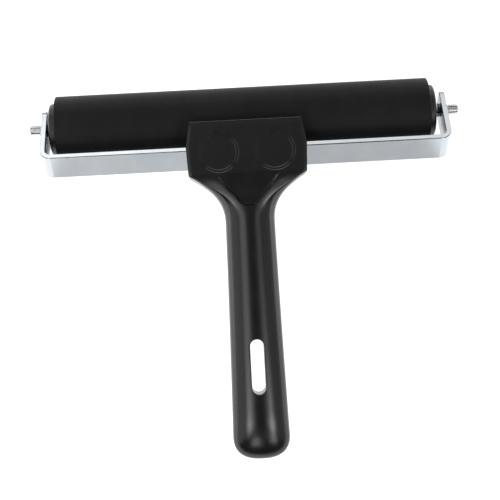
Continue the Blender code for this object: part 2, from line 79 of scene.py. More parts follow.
# Roller and axle
RUBBER_EDGE = 0.5 * MM
HUB_EDGE = 1.4 * MM
HUB_DISH = 0.5 * MM
HUB_EYE = 7.6 * MM
HUB_BORE = 5.3 * MM
HUB_RIM = 2.6 * MM
HUB_SPIGOT_RADIUS = 10.9 * MM
HUB_SPIGOT = 14.0 * MM
AXLE_EDGE = 0.8 * MM
AXLE_DIMPLE = (0.75 * MM, 0.9 * MM)
GROOVE_HALF = 0.55 * MM
GROOVE_DEPTH = 0.6 * MM
RING_WIRE = 0.4 * MM
RING_MOUTH = radians(18)

# Steel strip
FRAME_ANGLE = radians(35)
STRIP_THICKNESS = 3.0 * MM
STRIP_WIDTH = 16.0 * MM
STRIP_REACH = 25.8 * MM
STRIP_BEND = 4.7 * MM
STRIP_TIP = 7.4 * MM
STRIP_CORNER = 2.5 * MM
STRIP_EDGE = 0.45 * MM

# Handle outline
HEAD_START = 3.1 * MM
HEAD_KINK = 16.1 * MM
HEAD_END = 31.5 * MM
NECK_END = 56.5 * MM
DOME_START = 167.7 * MM
HEEL = 180.6 * MM
HEAD_HALF_START = 29.4 * MM
HEAD_HALF_KINK = 31.6 * MM
HEAD_HALF_END = 30.9 * MM
NECK_HALF = 13.0 * MM
HEEL_HALF = 14.9 * MM
NECK_CURVE_POWER = 2.4
FLARE_POWER = 1.3
DOME_POWER = 2.5

# Handle levels
FRONT_HEEL = 26.8 * MM
FRONT_FALL = 70.0 * MM
HEAD_BACK = 4.5 * MM
GRIP_BACK = 7.8 * MM
BACK_RISE = (30.0 * MM, 66.0 * MM)
PARTING = 13.5 * MM
HEAD_CHAMFER_ALONG = 2.9 * MM
HEAD_CHAMFER_DEPTH = 0.9 * MM
HEAD_NOSE = 0.55 * MM
HEAD_CORNER = 1.2 * MM
HEAD_BEVEL = (1.6 * MM, 0.13 * MM)
EDGE_START = 29.0 * MM
CROWN_START = 36.0 * MM
CROWN_FULL = 54.0 * MM
SHOULDER_START = 30.6 * MM
SHOULDER_FULL = 37.5 * MM
SHOULDER_REACH = 6.0 * MM
SHOULDER_SLOPE = 0.3
SHOULDER_EASE = 2.5 * MM
CROWN_POWER_WIDE = 3.0
CROWN_DROP = 156.0 * MM
CROWN_DROP_POWER = 2.15
GRIP_CORNER = 9.0 * MM
GRIP_POWER = 2.1
ROLLER_CLEARANCE = 2.5 * MM
CUT_HALF = 60.0 * MM

# Cover caps
CAP_X = 14.7 * MM
CAP_ALONG = 19.7 * MM
CAP_POCKET = 10.4 * MM
CAP_POCKET_DEPTH = 2.4 * MM
CAP_THICKNESS = 2.1 * MM
CAP_DISC = 9.0 * MM
CAP_STEP = 0.27 * MM
CAP_SLOPE = 0.38 * MM

# Thumb scoop and hanging slot
SCOOP_START = 31.6 * MM
SCOOP_MOUTH = 32.6 * MM
SCOOP_HALF = 16.0 * MM
SCOOP_WAIST = 43.2 * MM
SCOOP_WAIST_HALF = 6.8 * MM
SCOOP_TIP = 48.4 * MM
SCOOP_FLAT = 44.2 * MM
SCOOP_EASE = 0.8 * MM
SCOOP_SLOPE = 0.2
SCOOP_WALL = 1.6 * MM
SCOOP_BOW = 0.6 * MM
SCOOP_TIP_POWER = 1.7
SCOOP_TIP_SLOPE = 1.2
SLOT_CENTRE = 132.0 * MM
SLOT_LENGTH = 28.5 * MM
SLOT_WIDTH = 7.2 * MM
SLOT_RIM = 0.9 * MM

# Screws: head radius, head height, shank radius, length
SHELL_SCREW = (2.8 * MM, 1.8 * MM, 1.5 * MM, 11.0 * MM)
STRIP_SCREW = (3.8 * MM, 2.2 * MM, 1.9 * MM, 15.0 * MM)
SHELL_SCREW_SEAT = 10.5 * MM
SHELL_SCREW_PLACES = [(x * MM, along * MM) for x, along in ((-9, 38), (9, 38), (0, 64), (0, 158))]
SCREW_TURN = radians(23)

# Camera, in the handle's frame
CAMERA_SHIFT = (3.05 * MM, 70.5 * MM)
CAMERA_DISTANCE = 654.8 * MM
CAMERA_TURN = (radians(-1.30), radians(0.66), radians(3.03))
CAMERA_LENS = 86.9

# Softboxes: azimuth, elevation, radiance, width and height in metres
SOFTBOXES = {
    "left_strip": (270, 63, 2.05, 1.3, 0.42),
    "left_wall": (270, 22, 1.0, 1.4, 0.85),
    "right_strip": (90, 64, 1.05, 1.3, 0.34),
    "right_wall": (90, 24, 0.5, 1.4, 0.9),
    "front_left": (192, 38, 4.0, 0.24, 0.24),
    "front_right": (150, 38, 4.5, 0.24, 0.24),
    "shoulder_left": (226, 50, 6.5, 0.22, 0.22),
    "shoulder_right": (134, 50, 9.5, 0.22, 0.22),
    "back": (0, 21, 2.0, 1.5, 0.32),
    "back_left": (342, 24, 0.9, 0.55, 0.24),
    "back_top": (0, 56, 0.3, 0.8, 0.4),
    "top": (0, 84, 0.29, 0.35, 0.3),
}

# White floor: its glow, the rise beyond the legs, and the little more on the left
FLOOR_GLOW = 1.0
FLOOR_GLOW_BEYOND = 2.1
FLOOR_GLOW_LEFT = 0.22
FLOOR_SIZE = 6.0
FLOOR_DROP = 0.2 * MM

SIDES = ((-1, "left"), (1, "right"))


def frame_matrix():
    """The handle's frame in the world: its origin is on the axle."""
    side = Vector((1, 0, 0))
    up = OUT.cross(side)
    return Matrix.Translation(SPIN) @ Matrix((side, up, OUT)).transposed().to_4x4()


HANDLE = frame_matrix()
STRIP = HANDLE @ Matrix.Rotation(-FRAME_ANGLE, 4, "X")
AXLE = Matrix.Translation(SPIN) @ Matrix.Rotation(pi / 2, 4, "Y")
ROLLER = Matrix.Translation((ROLLER_SHIFT, 0, 0)) @ AXLE


# ---------------------------------------------------------------- mesh helpers

def new_piece(name, bm, matrix):
    """A mesh object from bm, with its place in its own matrix."""
    bmesh.ops.recalc_face_normals(bm, faces=bm.faces)
    mesh = bpy.data.meshes.new(name)
    bm.to_mesh(mesh)
    bm.free()
    piece = bpy.data.objects.new(name, mesh)
    bpy.context.scene.collection.objects.link(piece)
    piece.matrix_world = matrix
    return piece


def skin(rings, start_tip=None, end_tip=None, wrap=False):
    """Quads between closed rings of equal length; the ends are flat faces, tips or joined."""
    bm = bmesh.new()
    loops = [[bm.verts.new(point) for point in ring] for ring in rings]
    count = len(loops[0])
    pairs = list(zip(loops, loops[1:]))
    if wrap:
        pairs.append((loops[-1], loops[0]))
    for first, second in pairs:
        for i in range(count):
            j = (i + 1) % count
            bm.faces.new((first[i], first[j], second[j], second[i]))
    if wrap:
        return bm
    for loop, tip in ((loops[0], start_tip), (loops[-1], end_tip)):
        if tip is None:
            bm.faces.new(loop)
            continue
        point = bm.verts.new(tip)
        for i in range(count):
            bm.faces.new((loop[i], loop[(i + 1) % count], point))
    return bm


def lathe(name, profile, matrix, steps=128, hollow=False):
    """A (radius, height) profile turned about z; a solid one starts and ends on the axis."""
    inner = profile if hollow else profile[1:-1]
    rings = []
    for radius, height in inner:
        angles = [2 * pi * i / steps for i in range(steps)]
        rings.append([(radius * cos(a), radius * sin(a), height) for a in angles])
    if hollow:
        return new_piece(name, skin(rings, wrap=True), matrix)
    top, bottom = profile[0][1], profile[-1][1]
    return new_piece(name, skin(rings, (0, 0, top), (0, 0, bottom)), matrix)


def rod_profile(radius, bottom, top):
    return [(0.0, top), (radius, top), (radius, bottom), (0.0, bottom)]


def arc(centre, radius, start, end, steps):
    angles = [start + (end - start) * i / steps for i in range(steps + 1)]
    return [(centre[0] + radius * cos(a), centre[1] + radius * sin(a)) for a in angles]


def spread(low, high, steps):
    return [low + (high - low) * i / steps for i in range(steps + 1)]


def smooth_step(value, low, high):
    t = min(max((value - low) / (high - low), 0.0), 1.0)
    return t * t * (3.0 - 2.0 * t)


def eased_between(first, second, value, low, high):
    return first + (second - first) * smooth_step(value, low, high)


def box_piece(name, low, high, matrix):
    bm = bmesh.new()
    bmesh.ops.create_cube(bm, size=1.0)
    low, high = Vector(low), Vector(high)
    bmesh.ops.scale(bm, vec=high - low, verts=bm.verts)
    bmesh.ops.translate(bm, vec=(low + high) / 2, verts=bm.verts)
    return new_piece(name, bm, matrix)


def bake_modifiers(piece):
    """Replace the mesh by its evaluated one, and drop the modifiers."""
    bpy.context.view_layer.update()
    graph = bpy.context.evaluated_depsgraph_get()
    mesh = bpy.data.meshes.new_from_object(piece.evaluated_get(graph))
    piece.modifiers.clear()
    old, piece.data = piece.data, mesh
    bpy.data.meshes.remove(old)


def subtract(piece, *cutters):
    for cutter in cutters:
        step = piece.modifiers.new(cutter.name, "BOOLEAN")
        step.operation = "DIFFERENCE"
        step.solver = "EXACT"
        step.object = cutter
    bake_modifiers(piece)


def discard(*pieces):
    for piece in pieces:
        bpy.data.objects.remove(piece, do_unlink=True)


def shade(piece, angle=30):
    """Smooth faces with crisp edges, and flat faces that stay flat."""
    piece.data.shade_smooth()
    piece.data.set_sharp_from_angle(angle=radians(angle))
    weigh = piece.modifiers.new("weigh", "WEIGHTED_NORMAL")
    weigh.keep_sharp = True
    weigh.weight = 60
    return piece


def dress(piece, material, body, node):
    piece.data.materials.clear()
    piece.data.materials.append(material)
    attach(piece, body)
    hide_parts(node)
    return piece


# ---------------------------------------------------------------- materials

class Shader:
    """A Principled material with short ways to add nodes."""

    def __init__(self, name, metallic=0.0):
        self.material = bpy.data.materials.new(name)
        self.material.use_nodes = True
        self.tree = self.material.node_tree
        self.surface = self.tree.nodes["Principled BSDF"]
        self.set(self.surface, "Metallic", metallic)
        self.place = self.node("ShaderNodeTexCoord").outputs["Object"]

    def node(self, kind, **settings):
        made = self.tree.nodes.new(kind)
        for key, value in settings.items():
            setattr(made, key, value)
        return made

    def set(self, node, socket, value):
        node.inputs[socket].default_value = value

    def link(self, source, node, socket):
        self.tree.links.new(source, node.inputs[socket])

    def noise(self, scale, detail=3.0, rough=0.55, stretch=(1, 1, 1)):
        """Noise on the object's own coordinates, which can be stretched."""
        mapping = self.node("ShaderNodeMapping")
        self.set(mapping, "Scale", stretch)
        self.link(self.place, mapping, "Vector")
        made = self.node("ShaderNodeTexNoise")
        self.set(made, "Scale", scale)
        self.set(made, "Detail", detail)
        self.set(made, "Roughness", rough)
        self.link(mapping.outputs["Vector"], made, "Vector")
        return made.outputs["Fac"]

    def ramp(self, value, low, high, low_out, high_out):
        made = self.node("ShaderNodeMapRange")
        self.link(value, made, "Value")
        sockets = ("From Min", "From Max", "To Min", "To Max")
        for socket, number in zip(sockets, (low, high, low_out, high_out)):
            self.set(made, socket, number)
        return made.outputs["Result"]

    def paint(self, value, low, high, first, second):
        """The base colour goes from the first to the second as the value rises."""
        made = self.node("ShaderNodeMix", data_type="RGBA")
        factor, colour_a, colour_b = 0, 6, 7
        self.link(self.ramp(value, low, high, 0.0, 1.0), made, factor)
        self.set(made, colour_a, (*first, 1.0))
        self.set(made, colour_b, (*second, 1.0))
        self.link(made.outputs[2], self.surface, "Base Color")

    def gloss(self, value, low, high, first, second):
        """The roughness goes from the first to the second as the value rises."""
        self.link(self.ramp(value, low, high, first, second), self.surface, "Roughness")

    def relief(self, *layers):
        """Bumps of (height, distance, strength), each on top of the one before it."""
        under = None
        for height, distance, strength in layers:
            made = self.node("ShaderNodeBump")
            self.set(made, "Distance", distance)
            self.set(made, "Strength", strength)
            self.link(height, made, "Height")
            if under is not None:
                self.link(under, made, "Normal")
            under = made.outputs["Normal"]
        self.link(under, self.surface, "Normal")


def moulded_plastic(name, dark, light, roughness, grain):
    """Black moulded plastic: spark-eroded grain, faint flow clouds and handling marks."""
    s = Shader(name)
    s.paint(s.noise(42.0, 4.0), 0.35, 0.7, dark, light)
    s.gloss(s.noise(160.0, 5.0, 0.6), 0.3, 0.75, roughness - 0.02, roughness + 0.03)
    s.relief((s.noise(1100.0, 2.0), 0.01 * MM, grain), (s.noise(4200.0, 2.0), 0.008 * MM, grain))
    return s.material


def ground_rubber():
    """Black rubber ground round on a lathe: fine rings, a bloom of chalk, soft gloss."""
    s = Shader("ground_rubber")
    bloom = s.noise(35.0, 5.0, 0.6, (1, 1, 2.5))
    s.paint(bloom, 0.4, 0.75, (0.008, 0.008, 0.0084), (0.011, 0.011, 0.0114))
    rings = s.noise(1700.0, 3.0, 0.6, (0.02, 0.02, 1.0))
    s.gloss(rings, 0.3, 0.7, 0.49, 0.56)
    s.relief((rings, 0.01 * MM, 0.5), (s.noise(2600.0, 3.0), 0.015 * MM, 0.5))
    s.set(s.surface, "Specular IOR Level", 0.12)
    return s.material


def zinc_plate(name, stretch):
    """Bright zinc: drawn along the strip under the plating, with a cool, cloudy film."""
    s = Shader(name, 1.0)
    s.paint(s.noise(60.0, 5.0, 0.6), 0.35, 0.7, (0.306, 0.325, 0.343), (0.346, 0.362, 0.377))
    drawn = s.noise(1500.0, 4.0, 0.65, stretch)
    s.gloss(drawn, 0.3, 0.72, 0.12, 0.22)
    s.relief((drawn, 0.012 * MM, 0.6), (s.noise(260.0, 3.0), 0.012 * MM, 0.3))
    return s.material


def turned_steel(name, colour, roughness, stretch=(0.05, 0.05, 1.0)):
    """Steel with fine lathe rings and a few darker stains."""
    s = Shader(name, 1.0)
    darker = tuple(c * 0.78 for c in colour)
    s.paint(s.noise(300.0, 4.0, 0.6), 0.3, 0.65, darker, colour)
    rings = s.noise(2600.0, 2.0, 0.6, stretch)
    s.gloss(rings, 0.3, 0.7, roughness - 0.04, roughness + 0.08)
    s.relief((rings, 0.01 * MM, 0.5))
    return s.material


def porous_bronze():
    """Sintered bronze: brown-gold, peppered with oil-dark pores."""
    s = Shader("porous_bronze", 1.0)
    pores = s.noise(1400.0, 2.0, 0.7)
    s.paint(pores, 0.38, 0.5, (0.10, 0.07, 0.04), (0.55, 0.38, 0.20))
    s.gloss(pores, 0.35, 0.6, 0.6, 0.36)
    s.relief((pores, 0.03 * MM, 0.6))
    return s.material


def drawn_aluminium():
    """Extruded tube: bright, with long faint die lines."""
    s = Shader("drawn_aluminium", 1.0)
    lines = s.noise(900.0, 3.0, 0.6, (0.03, 1.0, 1.0))
    s.gloss(lines, 0.3, 0.7, 0.28, 0.42)
    s.paint(lines, 0.0, 1.0, (0.68, 0.69, 0.70), (0.78, 0.79, 0.80))
    s.relief((lines, 0.01 * MM, 0.5))
    return s.material


# ---------------------------------------------------------------- roller and axle

def make_sleeve(material):
    edge, half = RUBBER_EDGE, RUBBER_HALF
    inner = HUB_RADIUS - 0.4 * MM
    outer = arc((RUBBER_RADIUS - edge, half - edge), edge, pi / 2, 0.0, 6)
    upper = [(inner, half), *outer]
    lower = [(radius, -height) for radius, height in reversed(upper)]
    body = [(RUBBER_RADIUS, height) for height in spread(half - 2 * MM, 2 * MM - half, 24)]
    sleeve = lathe("sleeve", upper + body + lower, ROLLER, 192, True)
    dress(shade(sleeve), material, "roller", "rubber_sleeve")


def hub_profile():
    """A plug with a rounded rim, a shallow dish and a raised eye round the bush."""
    soft = 0.3 * MM
    dish = HUB_FACE - HUB_DISH
    rim = HUB_RADIUS - HUB_RIM
    bottom = RUBBER_HALF + GAP
    return [
        (HUB_BORE, HUB_FACE - 0.2 * MM),
        (HUB_BORE + 0.2 * MM, HUB_FACE),
        (HUB_EYE - soft, HUB_FACE),
        (HUB_EYE, HUB_FACE - 0.1 * MM),
        (HUB_EYE + soft, dish),
        (rim - 0.4 * MM, dish),
        (rim, HUB_FACE - 0.1 * MM),
        (rim + soft, HUB_FACE),
        *arc((HUB_RADIUS - HUB_EDGE, HUB_FACE - HUB_EDGE), HUB_EDGE, pi / 2, 0.0, 8),
        (HUB_RADIUS, bottom),
        (HUB_SPIGOT_RADIUS, bottom),
        (HUB_SPIGOT_RADIUS, bottom - HUB_SPIGOT),
        (HUB_BORE, bottom - HUB_SPIGOT),
    ]


def make_hubs(material):
    for side, name in SIDES:
        matrix = ROLLER if side > 0 else ROLLER @ Matrix.Rotation(pi, 4, "X")
        hub = lathe(f"hub_end_{name}", hub_profile(), matrix, 128, True)
        dress(shade(hub, 40), material, "roller", f"hub_{name}")


def make_axle(material):
    """The rod, with rounded ends, a centre-drilled dimple and a groove for each ring."""
    corner = (AXLE_RADIUS - AXLE_EDGE, AXLE_HALF - AXLE_EDGE)
    dimple, dimple_depth = AXLE_DIMPLE
    deep = AXLE_RADIUS - GROOVE_DEPTH
    soft = 0.05 * MM
    upper = [
        (0.0, AXLE_HALF - dimple_depth),
        (dimple, AXLE_HALF),
        *arc(corner, AXLE_EDGE, pi / 2, 0.0, 6),
        (AXLE_RADIUS, RING_PLACE + GROOVE_HALF),
        (deep, RING_PLACE + GROOVE_HALF - soft),
        (deep, RING_PLACE - GROOVE_HALF + soft),
        (AXLE_RADIUS, RING_PLACE - GROOVE_HALF),
    ]
    lower = [(radius, -height) for radius, height in reversed(upper)]
    axle = lathe("axle", upper + lower, AXLE, 96)
    dress(shade(axle, 35), material, "frame", "axle_rod")


def make_rings(material):
    """Round-wire snap rings, open at the mouth, in the axle's grooves."""
    centre = AXLE_RADIUS + RING_WIRE - 0.05 * MM
    for side, name in SIDES:
        rings = []
        for a in spread(pi / 2 + RING_MOUTH, 5 * pi / 2 - RING_MOUTH, 60):
            ring = arc((centre, 0.0), RING_WIRE, 0.0, 2 * pi * 11 / 12, 11)
            rings.append([(r * cos(a), r * sin(a), z) for r, z in ring])
        matrix = AXLE @ Matrix.Translation((0, 0, side * RING_PLACE))
        piece = new_piece(f"ring_{name}", skin(rings), matrix)
        dress(shade(piece, 50), material, "frame", f"snap_ring_{name}")


# ---------------------------------------------------------------- steel strip

def strip_stations():
    """(middle point, outward normal, distance to the nearer tip) along the bent strip."""
    half = STRIP_HALF - STRIP_THICKNESS / 2
    bar = -STRIP_REACH
    bend_y = bar + STRIP_BEND
    leg = STRIP_TIP - bend_y
    down = [d * MM for d in (0.0, 0.03, 0.1, 0.22, 0.45, 0.8, 1.2, 1.7, 2.5, 3.6, 5.0)]
    down += spread(7 * MM, leg, 10)
    right = [(Vector((half, STRIP_TIP - d, 0)), Vector((1, 0, 0)), d) for d in down]
    for a in spread(0.0, pi / 2, 24)[1:]:
        normal = Vector((cos(a), -sin(a), 0))
        middle = Vector((half - STRIP_BEND, bend_y, 0)) + normal * STRIP_BEND
        right.append((middle, normal, leg + a * STRIP_BEND))
    bar_x = spread(half - STRIP_BEND, 0.0, 24)[1:]
    right += [(Vector((x, bar, 0)), Vector((0, -1, 0)), leg + half) for x in bar_x]
    flip = Vector((-1, 1, 1))
    left = [(point * flip, normal * flip, far) for point, normal, far in reversed(right[:-1])]
    return right + left


def eased(size, radius, distance):
    """A half size that rounds off over the last bit before an end."""
    if distance >= radius:
        return size
    return size - radius + sqrt(radius**2 - (radius - distance) ** 2)


def strip_ring(middle, normal, distance):
    thick = eased(STRIP_THICKNESS / 2, STRIP_EDGE, distance)
    wide = eased(STRIP_WIDTH / 2, STRIP_CORNER, distance)
    ring = []
    for quarter, (st, sw) in enumerate(((1, 1), (-1, 1), (-1, -1), (1, -1))):
        centre = (st * (thick - STRIP_EDGE), sw * (wide - STRIP_EDGE))
        start = quarter * pi / 2
        ring += arc(centre, STRIP_EDGE, start, start + pi / 2, 5)
    return [middle + normal * t + Vector((0, 0, w)) for t, w in ring]


def make_strip(material):
    rings = [strip_ring(*station) for station in strip_stations()]
    strip = new_piece("steel_frame", skin(rings), STRIP)
    hole = lathe("axle_hole", rod_profile(AXLE_RADIUS + 0.25 * MM, -2 * STRIP_HALF, 2 * STRIP_HALF), AXLE, 64)
    subtract(strip, hole)
    discard(hole)
    dress(shade(strip), material, "frame", "frame_strip")


# ---------------------------------------------------------------- handle

def half_width(along):
    if along <= HEAD_KINK:
        t = (along - HEAD_START) / (HEAD_KINK - HEAD_START)
        return HEAD_HALF_START + t * (HEAD_HALF_KINK - HEAD_HALF_START)
    if along <= HEAD_END:
        t = (along - HEAD_KINK) / (HEAD_END - HEAD_KINK)
        return HEAD_HALF_KINK + t * (HEAD_HALF_END - HEAD_HALF_KINK)
    if along <= NECK_END:
        t = (NECK_END - along) / (NECK_END - HEAD_END)
        return NECK_HALF + (HEAD_HALF_END - NECK_HALF) * t**NECK_CURVE_POWER
    t = (along - NECK_END) / (DOME_START - NECK_END)
    return NECK_HALF + (HEEL_HALF - NECK_HALF) * t**FLARE_POWER


def front_level(along):
    start = HEAD_START + HEAD_CHAMFER_ALONG
    if along < start:
        short = max(HEAD_START + HEAD_NOSE - along, 0.0)
        nose = HEAD_NOSE - sqrt(max(HEAD_NOSE**2 - short**2, 0.0))
        return FRONT - HEAD_CHAMFER_DEPTH * (start - along) / HEAD_CHAMFER_ALONG - nose
    return eased_between(FRONT, FRONT_HEEL, along, FRONT_FALL, HEEL)


def back_level(along):
    return eased_between(HEAD_BACK, GRIP_BACK, along, *BACK_RISE)


def dome_scale(along, start, power):
    if along <= start:
        return 1.0
    t = (along - start) / (HEEL - start)
    return (1.0 - min(t, 1.0) ** power) ** (1.0 / power)


def scoop_half(along):
    """Half the width of the scoop's mouth: straight sides that close in a round tip."""
    if along <= SCOOP_WAIST:
        t = (along - SCOOP_MOUTH) / (SCOOP_WAIST - SCOOP_MOUTH)
        bow = SCOOP_BOW * 4 * t * (1 - t)
        return SCOOP_HALF + t * (SCOOP_WAIST_HALF - SCOOP_HALF) + bow
    t = (along - SCOOP_WAIST) / (SCOOP_TIP - SCOOP_WAIST)
    return SCOOP_WAIST_HALF * sqrt(max(1.0 - t**SCOOP_TIP_POWER, 0.0))


def soft_ramp(distance):
    """Nothing before 0 and the distance itself after it, with an eased turn between."""
    return (distance + hypot(distance, SCOOP_EASE)) / 2


def scoop_depth(x, along):
    """How far the thumb scoop sinks the front at a point."""
    if not SCOOP_START - 5 * SCOOP_EASE < along < SCOOP_TIP:
        return 0.0
    inside = min(scoop_half(along) - abs(x), (SCOOP_TIP - along) * SCOOP_TIP_SLOPE)
    floor = soft_ramp(along - SCOOP_START) - soft_ramp(along - SCOOP_FLAT)
    return SCOOP_SLOPE * floor * smooth_step(inside, 0.0, SCOOP_WALL)


def shoulder_drop(x, along):
    """How far the front falls away outside the scoop's edges, between the head and the grip."""
    lean = (SCOOP_HALF - SCOOP_WAIST_HALF) / (SCOOP_WAIST - SCOOP_MOUTH)
    edge = max(SCOOP_HALF - lean * (along - SCOOP_MOUTH), 0.0)
    outside = max(abs(x) - edge, 0.0) / hypot(1.0, lean)
    outside = hypot(outside, SHOULDER_EASE) - SHOULDER_EASE
    outside = SHOULDER_REACH * (1.0 - exp(-outside / SHOULDER_REACH))
    rise = smooth_step(along, SHOULDER_START, SHOULDER_FULL)
    fall = smooth_step(along, CROWN_START, CROWN_FULL)
    return SHOULDER_SLOPE * outside * rise * (1.0 - fall)


def corner_points(width, depth, corner, blend, quarter, front):
    """One rounded corner; at the head's front it is a flat bevel with softened edges."""
    sx = 1 if quarter in (0, 3) else -1
    sz = 1 if quarter in (0, 1) else -1
    start = quarter * pi / 2
    rounded = arc((sx * (width - corner), sz * (depth - corner)), corner, start, start + pi / 2, 12)
    if not front or blend >= 1.0:
        return rounded
    across, down = HEAD_BEVEL
    soft = (0.0, 0.04, 0.1, 0.2, 0.35, 0.5, 0.65, 0.8, 0.9, 0.95, 1.0)
    bevel = [(width, depth - down - 0.5 * MM)]
    bevel += [(width - 0.15 * MM - across * t, depth - down + down * t) for t in soft]
    bevel.append((width - across - 0.8 * MM, depth))
    bevel = [(sx * x, sz * z) for x, z in bevel]
    if quarter == 1:
        bevel.reverse()
    return [tuple(p + (q - p) * blend for p, q in zip(one, two)) for one, two in zip(bevel, rounded)]


def section_ring(along):
    """A closed (x, level) ring: square at the head, crowned along the grip."""
    low, high = back_level(along), front_level(along)
    scale = dome_scale(along, DOME_START, DOME_POWER)
    width = half_width(along) * scale
    depth = (high - low) / 2 * dome_scale(along, CROWN_DROP, CROWN_DROP_POWER)
    middle = (high + low) / 2
    grip = smooth_step(along, CROWN_START, CROWN_FULL)
    power = eased_between(CROWN_POWER_WIDE, GRIP_POWER, along, CROWN_START, NECK_END)
    corner = eased_between(HEAD_CORNER, GRIP_CORNER, along, EDGE_START, NECK_END) * scale
    corner = min(corner, width * 0.6, depth * 0.9)
    soft = smooth_step(along, EDGE_START, CROWN_START)
    corners = [corner_points(width, depth, corner, soft, quarter, quarter < 2) for quarter in range(4)]
    ring = []
    for quarter, pieces in enumerate((90, 8, 30, 8)):
        ring += corners[quarter]
        last, following = ring[-1], corners[(quarter + 1) % 4][0]
        for k in range(1, pieces):
            ring.append(tuple(p + (q - p) * k / pieces for p, q in zip(last, following)))
    points = []
    for x, z in ring:
        reach = (abs(x / width) ** power + abs(z / depth) ** power) ** (-1.0 / power)
        factor = 1.0 + grip * (reach - 1.0)
        level = middle + z * factor
        if z > 0:
            level -= scoop_depth(x * factor, along) + shoulder_drop(x * factor, along) * z / depth
        points.append((x * factor, -along, level))
    return points


def handle_stations():
    stations = [HEAD_START + HEAD_NOSE * t for t in (0.0, 0.04, 0.15, 0.35, 0.65, 1.0, 2.0, 3.5)]
    stations += [HEAD_START + HEAD_CHAMFER_ALONG - 0.2 * MM, HEAD_START + HEAD_CHAMFER_ALONG]
    stations += [s * MM for s in (6.2, 6.8, 8.0, 10.0, 13.0, 16.1, 19.0, 22.0, 25.0, 28.0)]
    stations += spread(30 * MM, 52 * MM, 64)
    stations += spread(53 * MM, DOME_START, 72)
    for i in range(1, 25):
        stations.append(DOME_START + (HEEL - DOME_START) * sin(radians(88.5) * i / 24))
    return stations


def handle_blank(name):
    rings = [section_ring(along) for along in handle_stations()]
    middle = (front_level(HEEL) + back_level(HEEL)) / 2
    return new_piece(name, skin(rings, end_tip=(0, -HEEL, middle)), HANDLE)


def keep_side(piece, level, keep_above):
    """Cut a closed mesh by a flat level and close the cut."""
    bm = bmesh.new()
    bm.from_mesh(piece.data)
    bmesh.ops.bisect_plane(
        bm,
        geom=[*bm.verts, *bm.edges, *bm.faces],
        plane_co=(0, 0, level),
        plane_no=(0, 0, 1),
        clear_inner=keep_above,
        clear_outer=not keep_above,
    )
    rim = [edge for edge in bm.edges if edge.is_boundary]
    bmesh.ops.edgeloop_fill(bm, edges=rim)
    bmesh.ops.recalc_face_normals(bm, faces=bm.faces)
    bm.to_mesh(piece.data)
    bm.free()


def roller_room():
    profile = rod_profile(RUBBER_RADIUS + ROLLER_CLEARANCE, -CUT_HALF, CUT_HALF)
    return lathe("roller_room", profile, AXLE, 128)


def strip_seat():
    edge = STRIP_WIDTH / 2 + GAP
    deep = -(STRIP_REACH + STRIP_THICKNESS / 2 + GAP)
    return box_piece("strip_seat", (-CUT_HALF, deep, -edge), (CUT_HALF, 0.0, edge), STRIP)


def slot_cutter():
    """The hanging slot with a rounded rim at the front and the back."""
    straight = (SLOT_LENGTH - SLOT_WIDTH) / 2
    top = front_level(SLOT_CENTRE) - 0.25 * MM
    bottom = back_level(SLOT_CENTRE) + 0.1 * MM
    past, flare = 4 * MM, SLOT_RIM + 1.2 * MM
    layers = [(top + past, flare)]
    for a in spread(pi / 2, 0.0, 9):
        layers.append((top - SLOT_RIM * (1 - sin(a)), SLOT_RIM * (1 - cos(a))))
    for a in spread(0.0, pi / 2, 9):
        layers.append((bottom + SLOT_RIM * (1 - sin(a)), SLOT_RIM * (1 - cos(a))))
    layers.append((bottom - past, flare))
    rings = []
    for level, grow in layers:
        radius = SLOT_WIDTH / 2 + grow
        outline = arc((0, straight), radius, 0, pi, 20)
        outline += arc((0, -straight), radius, pi, 2 * pi, 20)
        rings.append([(x, y - SLOT_CENTRE, level) for x, y in outline])
    return new_piece("slot_cut", skin(rings), HANDLE)


def step_down(radius, level):
    """A soft step: it starts on the radius, one step under the level, and rises outwards."""
    shares = [(t, 1 - t * (1.2 - 0.2 * t)) for t in spread(0.0, 1.0, 6)]
    return [(radius + CAP_SLOPE * t, level - CAP_STEP * drop) for t, drop in shares]


def cap_matrix(side):
    return HANDLE @ Matrix.Translation((side * CAP_X, -CAP_ALONG, 0))


def pocket_cutter(side):
    """A pocket with a softly chamfered mouth."""
    above, floor = FRONT + 1 * MM, FRONT - CAP_POCKET_DEPTH
    profile = [(0.0, above), (CAP_POCKET + 2 * CAP_SLOPE, above)]
    profile += reversed(step_down(CAP_POCKET, FRONT))
    profile += [(CAP_POCKET, floor), (0.0, floor)]
    return lathe(f"pocket_{side}", profile, cap_matrix(side), 128)


def screw_well(number, x, along):
    profile = rod_profile(SHELL_SCREW[0] + 2 * GAP, -10 * MM, SHELL_SCREW_SEAT)
    return lathe(f"well_{number}", profile, HANDLE @ Matrix.Translation((x, -along, 0)), 64)


def make_handle(material):
    room, seat, slot = roller_room(), strip_seat(), slot_cutter()
    body = handle_blank("grip_body")
    keep_side(body, PARTING + GAP / 2, True)
    pockets = [pocket_cutter(side) for side, _ in SIDES]
    subtract(body, room, seat, slot, *pockets)
    cover = handle_blank("grip_back")
    keep_side(cover, PARTING - GAP / 2, False)
    wells = [screw_well(i, x, along) for i, (x, along) in enumerate(SHELL_SCREW_PLACES)]
    subtract(cover, room, seat, slot, *wells)
    discard(room, seat, slot, *pockets, *wells)
    dress(shade(body, 11), material, "frame", "handle_body")
    dress(shade(cover), material, "frame", "handle_back_cover")


def make_caps(material):
    """Press-in discs: a narrow rim just under the head's face, and a face one step lower."""
    rim = CAP_POCKET - 0.06 * MM
    high, under = FRONT - CAP_STEP, FRONT - CAP_THICKNESS
    profile = [(0.0, high - CAP_STEP), *step_down(CAP_DISC, high), (rim, high), (rim, under), (0.0, under)]
    for side, name in SIDES:
        cap = lathe(f"cap_{name}", profile, cap_matrix(side), 128)
        dress(shade(cap), material, "frame", f"cover_cap_{name}")


# ---------------------------------------------------------------- screws

